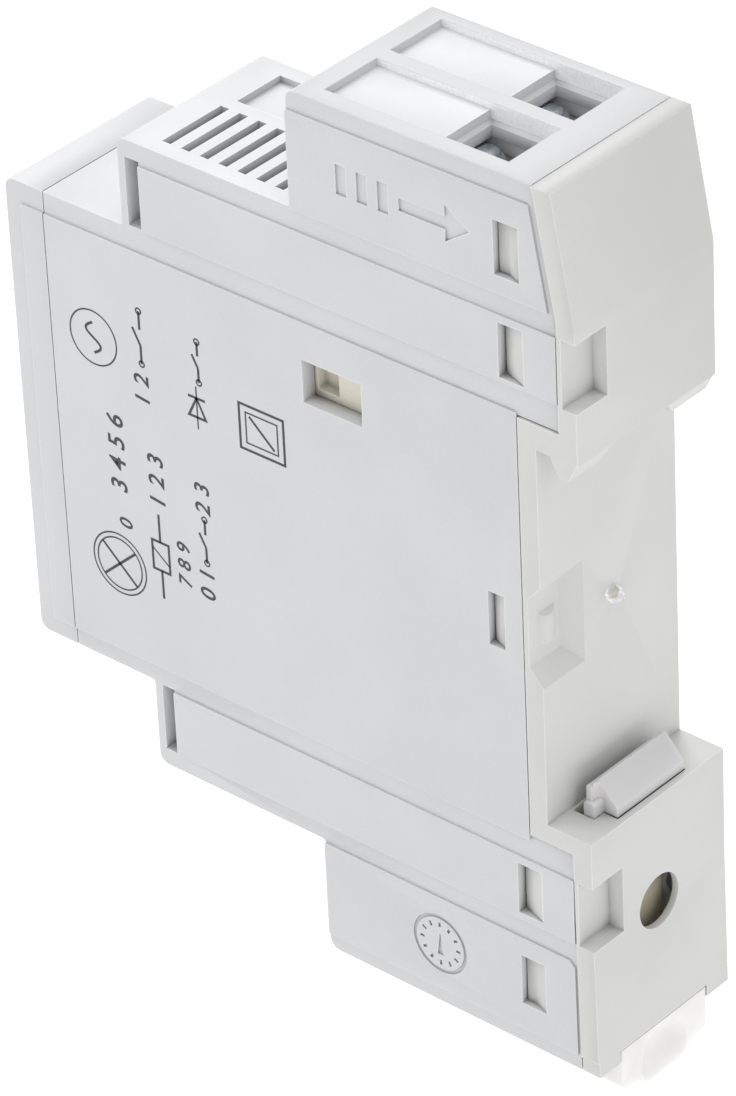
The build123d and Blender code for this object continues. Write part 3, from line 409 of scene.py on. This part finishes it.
MATERIALS = {
    "housing": housing_plastic(grey(ALBEDO, COOL)),
    "base": moulded_plastic("base_plastic", grey(ALBEDO, WARM), painted_shade_pass=base_painted_shade),
    "clip": clip_plastic(),
    "carrier": moulded_plastic("carrier_plastic", grey(0.75, CREAM), grain_mm=0.3, roughness=0.4),
    "bobbin": moulded_plastic("bobbin_plastic", grey(0.05), variation=0.2, grain_mm=0.3, roughness=0.45),
    "flag": moulded_plastic("flag_plastic", (0.75, 0.10, 0.02, 1.0), variation=0.05, roughness=0.35),
    "strip": metal("tinned_strip", TIN, 0.24, lay=(0.15, 1, 1), scratch_mm=0.5, depth_mm=0.0006,
                   tarnish=0.08),
    "cage": metal("zinc_cage", STEEL, 0.36, lay=(1, 0.3, 1), scratch_mm=0.4),
    "screw": metal("zinc_screw", grey(0.6, (1.0, 0.99, 0.94)), 0.28, lay=(1, 1, 1), tarnish=0.2),
    "spring": metal("spring_steel", grey(0.5), 0.22, lay=(1, 1, 1), tarnish=0.2),
    "bridge": metal("bridge_brass", BRASS, 0.3, lay=(1, 1, 0.15)),
    "contact": metal("contact_silver", SILVER, 0.34, scratch_mm=0.4, depth_mm=0.006),
    "lead": metal("lead_copper", COPPER, 0.25, lay=(1, 0.2, 1)),
    "solder": metal("solder", grey(0.72), 0.3, scratch_mm=0.6, depth_mm=0.01),
    "steel_sheets": laminated_steel(),
    "wire": enamelled_wire(),
    "tape": coil_tape_film(),
    "rubber": rubber(),
    "board": board_laminate(),
    "black_resin": dipped_resin("black_resin", grey(0.02), 0.4, 0.02),
    "blue_resin": dipped_resin("blue_resin", (0.03, 0.14, 0.42, 1.0)),
    "grey_case": dipped_resin("grey_case", grey(0.27, (0.97, 1.0, 1.02)), 0.35, 0.015),
    "led": led_package(),
    "acrylic": clear_acrylic(),
    "ink": marking_ink(),
    "gate": torn_gate(),
}

NODE_MATERIALS = {
    "housing": ["main_housing", "front_cap"],
    "base": ["rear_base"],
    "clip": ["rail_clip", "clip_spring_legs"],
    "carrier": ["contact_carrier"],
    "bobbin": ["coil_bobbin"],
    "flag": ["indicator_flag"],
    "steel_sheets": ["magnet_core", "armature"],
    "wire": ["coil_winding"],
    "tape": ["coil_tape"],
    "rubber": ["core_cushion"],
    "board": ["circuit_board"],
    "black_resin": ["bridge_rectifier"],
    "blue_resin": ["varistor"],
    "grey_case": ["film_capacitor"],
    "led": ["status_led"],
    "acrylic": ["light_pipe"],
    "lead": ["coil_leads"],
    "spring": [name for name in NODES if "_spring_" in name and name != "clip_spring_legs"],
    "strip": [name for name in NODES if "_strip_" in name],
    "cage": [name for name in NODES if "_cage_" in name],
    "screw": [name for name in NODES if "_screw_" in name],
    "bridge": [name for name in NODES if name.startswith("contact_bridge")],
    "contact": [name for name in NODES if name.startswith(("bridge_tips", "fixed_tip"))],
}
for material, names in NODE_MATERIALS.items():
    for name in names:
        NODES[name].data.materials.clear()
        NODES[name].data.materials.append(MATERIALS[material])


# ---- edges ---------------------------------------------------------------------------------------
def soften(name, width_mm):
    """Small round on a CAD node's sharp edges, with smooth shading."""
    node = NODES[name]
    for polygon in node.data.polygons:
        polygon.use_smooth = True
    weld = node.modifiers.new("weld", "WELD")
    weld.merge_threshold = 0.002 * MM
    bevel = node.modifiers.new("edge_round", "BEVEL")
    bevel.width = width_mm * MM
    bevel.segments = 2
    bevel.limit_method = "ANGLE"
    bevel.angle_limit = math.radians(30)
    bevel.use_clamp_overlap = True
    bevel.harden_normals = True


EDGE_ROUNDS = {
    "main_housing": 0.11, "front_cap": 0.11, "rear_base": 0.15, "rail_clip": 0.24, "contact_carrier": 0.1,
    "magnet_core": 0.05, "armature": 0.05, "coil_bobbin": 0.1, "indicator_flag": 0.1,
    "bridge_rectifier": 0.12, "status_led": 0.08,
}
for name in NODES:
    if "_strip_" in name or "_cage_" in name or "_screw_" in name or name.startswith("contact_bridge"):
        EDGE_ROUNDS[name] = 0.08
for name, width in EDGE_ROUNDS.items():
    soften(name, width)


# ---- mesh helpers --------------------------------------------------------------------------------
def add_piece(name, mesh, material, body, smooth=True):
    piece = bpy.data.objects.new(name, mesh)
    bpy.context.scene.collection.objects.link(piece)
    mesh.materials.append(MATERIALS[material])
    for polygon in mesh.polygons:
        polygon.use_smooth = smooth
    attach(piece, body)
    return piece


def mesh_from(name, vertices, faces):
    """Mesh from millimetre vertices, with its faces turned outwards."""
    work = bmesh.new()
    made = [work.verts.new([c * MM for c in vertex]) for vertex in vertices]
    for face in faces:
        work.faces.new([made[i] for i in face])
    bmesh.ops.recalc_face_normals(work, faces=work.faces)
    mesh = bpy.data.meshes.new(name)
    work.to_mesh(mesh)
    work.free()
    return mesh


def swept(name, stations, section, closed=False):
    """Solid swept through stations (origin, u axis, v axis), each carrying the same (u, v) section."""
    count = len(section)
    vertices = [origin + u_axis * u + v_axis * v for origin, u_axis, v_axis in stations for u, v in section]
    faces = []
    steps = len(stations) if closed else len(stations) - 1
    for i in range(steps):
        here, there = i * count, (i + 1) % len(stations) * count
        for j in range(count):
            k = (j + 1) % count
            faces.append((here + j, here + k, there + k, there + j))
    if not closed:
        faces.append(tuple(range(count)))
        faces.append(tuple(range(len(vertices) - count, len(vertices))))
    return mesh_from(name, vertices, faces)


def join_meshes(name, meshes):
    """One mesh from several."""
    work = bmesh.new()
    for mesh in meshes:
        work.from_mesh(mesh)
    joined = bpy.data.meshes.new(name)
    work.to_mesh(joined)
    work.free()
    return joined


def circle_section(radius, sides):
    return [(radius * math.cos(2 * math.pi * i / sides), radius * math.sin(2 * math.pi * i / sides))
            for i in range(sides)]


# ---- springs -------------------------------------------------------------------------------------
def coil_spring(name, node, body, active_turns):
    """Compression spring with closed ends that stands for a CAD spring.
    """
    low, high = (Vector(corner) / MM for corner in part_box(node))
    wire = 0.4
    axis_x, axis_z = (low.x + high.x) / 2, (low.z + high.z) / 2
    radius = (high.x - low.x) / 2 - wire / 2
    start, end = low.y + wire / 2, high.y - wire / 2
    dead_turns, per_turn = 1.0, 28
    turns = active_turns + 2 * dead_turns
    dead_rise = dead_turns * wire
    stations = []
    for i in range(int(turns * per_turn) + 1):
        turn = i / per_turn
        if turn < dead_turns:
            y = start + turn * wire
        elif turn > turns - dead_turns:
            y = end - (turns - turn) * wire
        else:
            share = (turn - dead_turns) / active_turns
            y = start + dead_rise + share * (end - start - 2 * dead_rise)
        angle = 2 * math.pi * turn
        outward = Vector((math.cos(angle), 0, math.sin(angle)))
        stations.append((Vector((axis_x, y, axis_z)) + outward * radius, outward, Vector((0, 1, 0))))
    spring = add_piece(name, swept(name, stations, circle_section(wire / 2, 10)), "spring", body)
    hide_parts(node)
    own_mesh(spring)
    return spring


for place in ("upper", "lower"):
    coil_spring(f"return_coil_{place}", f"return_spring_{place}", "housing", 4)
for pole in (1, 2):
    coil_spring(f"contact_coil_{pole}", f"contact_spring_{pole}", "carrier",
                3)


def wavy_legs():
    """The clip's two moulded wavy spring legs."""
    low, high = (Vector(corner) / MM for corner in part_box("clip_spring_legs"))
    middle_y, bends, steps = (low.y + high.y) / 2, 6, 96
    swing, half_u, half_v, leg_x = 0.45, 0.225, 0.4, 4.0
    section = [(-half_u, -half_v), (half_u, -half_v), (half_u, half_v), (-half_u, half_v)]
    meshes = []
    for side in (-1, 1):
        points = []
        for i in range(steps + 1):
            share = i / steps
            fade = min(1.0, 6 * share, 6 * (1 - share))
            x = side * (leg_x + swing * fade * math.sin(math.pi * bends * share))
            points.append(Vector((x, middle_y, high.z + share * (low.z - high.z))))
        stations = []
        for i, point in enumerate(points):
            along = points[min(i + 1, steps)] - points[max(i - 1, 0)]
            across = along.cross(Vector((0, 1, 0))).normalized()
            stations.append((point, across, Vector((0, 1, 0))))
        meshes.append(swept("leg", stations, section))
    legs = add_piece("clip_wavy_legs", join_meshes("clip_wavy_legs", meshes), "clip", "clip", smooth=False)
    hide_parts("clip_spring_legs")
    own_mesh(legs)


wavy_legs()

# ---- markings on the +X side ---------------------------------------------------------------------
PANEL_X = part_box("main_housing")[1][0] / MM
INK_MM = 0.012                     # the ink stands this proud of the panel
INK_ROOT_MM = 0.02                 # and reaches this deep into it
THIN, BOLD = 0.15, 0.25            # stroke widths


def stroke(points, width, closed=False):
    """Flat ribbon on the panel through (y, z) points, as a thin closed solid."""
    flat = [Vector((0, y, z)) for y, z in points]
    count = len(flat)
    stations = []
    for i, point in enumerate(flat):
        before = flat[(i - 1) % count] if closed or i > 0 else point
        after = flat[(i + 1) % count] if closed or i < count - 1 else point
        into, out = (point - before).normalized(), (after - point).normalized()
        along = (into + out).normalized()
        across = Vector((0, -along.z, along.y))
        bend = max(0.5, along.dot(out if out.length else into))
        stations.append((point + Vector((PANEL_X, 0, 0)), across / bend, Vector((1, 0, 0))))
    half = width / 2
    section = [(-half, -INK_ROOT_MM), (half, -INK_ROOT_MM), (half, INK_MM), (-half, INK_MM)]
    return swept("stroke", stations, section, closed)


def ring(y, z, radius):
    points = [(y + radius * math.cos(2 * math.pi * i / 64), z + radius * math.sin(2 * math.pi * i / 64))
              for i in range(64)]
    return stroke(points, THIN, closed=True)


def frame_box(y0, y1, z0, z1, width):
    return stroke([(y0, z0), (y1, z0), (y1, z1), (y0, z1)], width, closed=True)


def digits(text, y, z, height):
    """Terminal numbers that read upwards, with their tops towards the front face."""
    font = bpy.data.curves.new("digits", "FONT")
    font.body = text
    font.size = height * 1.38 * MM
    font.shear = 0.12
    font.space_character = 1.05
    font.offset = 0.018 * height * MM
    font.extrude = (INK_MM + INK_ROOT_MM) / 2 * MM
    holder = bpy.data.objects.new("digits", font)
    bpy.context.scene.collection.objects.link(holder)
    bpy.context.view_layer.update()
    mesh = bpy.data.meshes.new_from_object(holder.evaluated_get(bpy.context.evaluated_depsgraph_get()))
    bpy.data.objects.remove(holder)
    reading, up, out = Vector((0, 0, 1)), Vector((0, -1, 0)), Vector((1, 0, 0))
    turn = Matrix((reading, up, out)).transposed().to_4x4()
    middle = PANEL_X + (INK_MM - INK_ROOT_MM) / 2
    mesh.transform(Matrix.Translation(Vector((middle, y, z)) * MM) @ turn)
    return mesh


def open_contact(y, z, length):
    """Make-contact symbol along Z: two leads and a raised arm."""
    gap = length * 0.3
    lead_in = stroke([(y, z), (y, z + (length - gap) / 2)], BOLD)
    lead_out = stroke([(y, z + (length + gap) / 2), (y, z + length)], BOLD)
    arm = stroke([(y, z + (length - gap) / 2), (y - length * 0.16, z + (length + gap) / 2)], BOLD)
    return [lead_in, lead_out, arm, ring(y, z, 0.28), ring(y, z + length, 0.28)]


def coil_symbol(y, z, length):
    """Coil symbol along Z: a box with a slash, on two leads."""
    half_box, half_h = length * 0.17, 0.95
    middle = z + length / 2
    return [stroke([(y, z), (y, middle - half_box)], BOLD),
            stroke([(y, middle + half_box), (y, z + length)], BOLD),
            frame_box(y - half_h, y + half_h, middle - half_box, middle + half_box, BOLD),
            stroke([(y + half_h, middle - half_box / 2), (y - half_h, middle + half_box / 2)], THIN)]


def wave_symbol(y, z, half_length, height):
    points = [(y + height * math.sin(math.pi * i / 16), z - half_length + half_length * i / 16)
              for i in range(33)]
    return stroke(points, BOLD)


def lamp_symbol(y, z, radius):
    """Lamp symbol: crossed circle inside a second ring."""
    reach = 0.62 * radius
    return [ring(y, z, radius), ring(y, z, radius * 0.84),
            stroke([(y - reach, z - reach * 0.9), (y + reach, z + reach * 0.9)], BOLD),
            stroke([(y + reach, z - reach * 0.9), (y - reach, z + reach * 0.9)], BOLD)]


def diode_symbol(y, z, length):
    half, middle = 0.95, z + length / 2
    triangle = [(y - half, middle - half), (y + half, middle - half), (y, middle + half)]
    return [stroke([(y, z), (y, z + length)], THIN), stroke(triangle, BOLD, closed=True),
            stroke([(y - half, middle + half), (y + half, middle + half)], BOLD)]


def side_marking():
    """Generic wiring diagram: circuit symbols and plain numbers in rows up the side."""
    marks = [ring(-48.6, 10.8, 2.65), wave_symbol(-48.6, 10.8, 1.5, 0.8), digits("1 2", -42.5, 6.0, 1.7)]
    marks += open_contact(-43.1, 10.2, 5.2)
    marks += [digits("3 4 5 6", -45.9, -4.0, 1.9), digits("0", -45.6, -7.6, 1.5)]
    marks += lamp_symbol(-47.4, -11.6, 3.05)
    marks += coil_symbol(-42.4, -13.2, 8.6) + [digits("1 2 3", -41.5, -3.9, 1.8)]
    marks += diode_symbol(-37.0, 6.1, 4.2) + open_contact(-36.6, 10.8, 4.0)
    marks += [frame_box(-32.2, -27.3, 6.2, 10.6, BOLD), frame_box(-31.5, -28.0, 6.9, 9.9, THIN),
              stroke([(-28.4, 7.2), (-31.1, 9.6)], BOLD)]
    marks += [digits("7 8 9", -39.0, -10.9, 1.5), digits("0 1", -36.3, -11.2, 1.7)]
    marks += open_contact(-37.0, -7.4, 4.4) + [digits("2 3", -36.3, -2.5, 1.7)]
    add_piece("side_marking", join_meshes("side_marking", marks), "ink", "housing", smooth=False)


side_marking()


# ---- torn gate in the rail channel ---------------------------------------------------------------
def torn_gate_piece():
    """Rounded stub left where the moulding gate broke off, with torn crumbs of plastic round it."""
    hole_r, rim_r, outer_r = 0.5, 0.66, 1.0
    wide, tall, lean_over = 1.2, 0.95, 0.55            # the tear is wider than tall, and skewed
    floor_y, root_y, skirt_y = -0.24, -0.33, -0.04     # its middle, its root in the recess, its edge
    rings, sectors = 16, 44
    top, under = [], []
    for i in range(1, rings + 1):
        radius = outer_r * i / rings
        for j in range(sectors):
            angle = 2 * math.pi * j / sectors
            lean = 0.5 + 0.5 * math.cos(angle - math.radians(225))
            spot = Vector((radius * math.cos(angle), 0.0, radius * math.sin(angle)))
            crumble = noise.noise(spot * 4.1) * 0.24 + noise.noise(spot * 9.0) * 0.2
            ragged = 1 + 0.07 * noise.noise(Vector((math.cos(angle), math.sin(angle), 3.0)) * 2.3)
            x = GATE_X + wide * spot.x * ragged
            z = GATE_Z + (tall * spot.z + lean_over * spot.x) * ragged
            rim = 0.4 * lean * math.exp(-((radius - rim_r) / 0.3) ** 2)
            from_stub = math.hypot(x - STUB_X, z - STUB_Z)
            stub = 0.5 * math.sqrt(max(0.0, 1 - (from_stub / STUB_R) ** 2))
            edge = min(1.0, (outer_r - radius) / 0.18)
            height = (rim + stub + crumble * (0.15 + lean)) * edge
            top.append((x, height - 0.01 * (1 - edge), z))
            under.append((x, root_y if radius < hole_r else skirt_y, z))
    vertices = [(GATE_X, floor_y, GATE_Z), (GATE_X, root_y, GATE_Z)] + top + under
    first_top, first_under = 2, 2 + len(top)
    faces = []
    for j in range(sectors):
        k = (j + 1) % sectors
        faces.append((0, first_top + k, first_top + j))
        faces.append((1, first_under + j, first_under + k))
        for i in range(rings - 1):
            a, b = first_top + i * sectors, first_top + (i + 1) * sectors
            c, d = first_under + i * sectors, first_under + (i + 1) * sectors
            faces.append((a + j, a + k, b + k, b + j))
            faces.append((c + k, c + j, d + j, d + k))
        last_top, last_under = first_top + (rings - 1) * sectors, first_under + (rings - 1) * sectors
        faces.append((last_top + j, last_top + k, last_under + k, last_under + j))
    add_piece("torn_gate", mesh_from("torn_gate", vertices, faces), "gate", "housing")


torn_gate_piece()

# ---- camera --------------------------------------------------------------------------------------
AZIMUTH, ELEVATION, ROLL = math.radians(132.395), math.radians(33.475), math.radians(-2.793)
DISTANCE = 0.53754
LENS_MM = 209.88
AIM_RIGHT, AIM_UP = 1.286 * MM, -5.626 * MM
SEAT_OFFSET = Vector((0.0, -27.85 * MM, 0.0))


def make_camera():
    look = Vector((-math.sin(AZIMUTH) * math.cos(ELEVATION), math.cos(AZIMUTH) * math.cos(ELEVATION),
                   -math.sin(ELEVATION)))
    level_right = look.cross(Vector((0, 0, 1))).normalized()
    level_up = level_right.cross(look)
    right = math.cos(ROLL) * level_right + math.sin(ROLL) * level_up
    up = -math.sin(ROLL) * level_right + math.cos(ROLL) * level_up
    camera = bpy.data.objects.new("camera", bpy.data.cameras.new("camera"))
    bpy.context.scene.collection.objects.link(camera)
    camera.data.lens = LENS_MM
    camera.data.sensor_width = 36.0
    camera.data.clip_start, camera.data.clip_end = 0.01, 20.0
    place = SEAT_OFFSET + right * AIM_RIGHT + up * AIM_UP - look * DISTANCE
    camera.matrix_world = Matrix.Translation(place) @ Matrix((right, up, -look)).transposed().to_4x4()
    bpy.context.scene.camera = camera


make_camera()


# ---- floor and light -----------------------------------------------------------------------------
FLOOR_Z = -0.052                   # the pulled clip still clears the floor
FLOOR_GLOW = 1.0                   # the floor is a white light table, so nearly no shadow shows on it
WORLD_STRENGTH = 0.56
SOFTBOXES = (                      # name, place, size, power
    ("top_softbox", (0.0, -0.03, 0.9), 0.8, 3.8),
    ("rear_softbox", (-0.6, -0.6, 0.9), 0.5, 6.0),
    ("front_softbox", (0.2, 1.0, 0.5), 0.6, 2.1),
    ("side_softbox", (0.5, -0.9, 0.6), 0.5, 3.6),
)


def area_light(name, place, size, power):
    light = bpy.data.lights.new(name, "AREA")
    light.shape, light.size, light.energy = "SQUARE", size, power
    obj = bpy.data.objects.new(name, light)
    bpy.context.scene.collection.objects.link(obj)
    obj.location = place
    obj.rotation_euler = (SEAT_OFFSET - Vector(place)).to_track_quat("-Z", "Y").to_euler()


def make_floor():
    mesh = bpy.data.meshes.new("floor")
    half = 4.0
    corners = [(-half, -half), (half, -half), (half, half), (-half, half)]
    mesh.from_pydata([(x, y, FLOOR_Z) for x, y in corners], [], [(0, 1, 2, 3)])
    floor = bpy.data.objects.new("floor", mesh)
    bpy.context.scene.collection.objects.link(floor)
    n = Nodes("light_table")
    n.set(Base_Color=grey(0.25), Roughness=0.9, Specular_IOR_Level=0.1, Emission_Color=grey(1.0),
          Emission_Strength=FLOOR_GLOW)
    mesh.materials.append(n.material)


def make_stage():
    make_floor()
    world = bpy.data.worlds.new("studio")
    world.use_nodes = True
    world.node_tree.nodes["Background"].inputs["Color"].default_value = grey(1.0)
    world.node_tree.nodes["Background"].inputs["Strength"].default_value = WORLD_STRENGTH
    bpy.context.scene.world = world
    for softbox in SOFTBOXES:
        area_light(*softbox)


make_stage()
bpy.context.scene.view_settings.view_transform = "Standard"
bpy.context.scene.view_settings.look = "None"
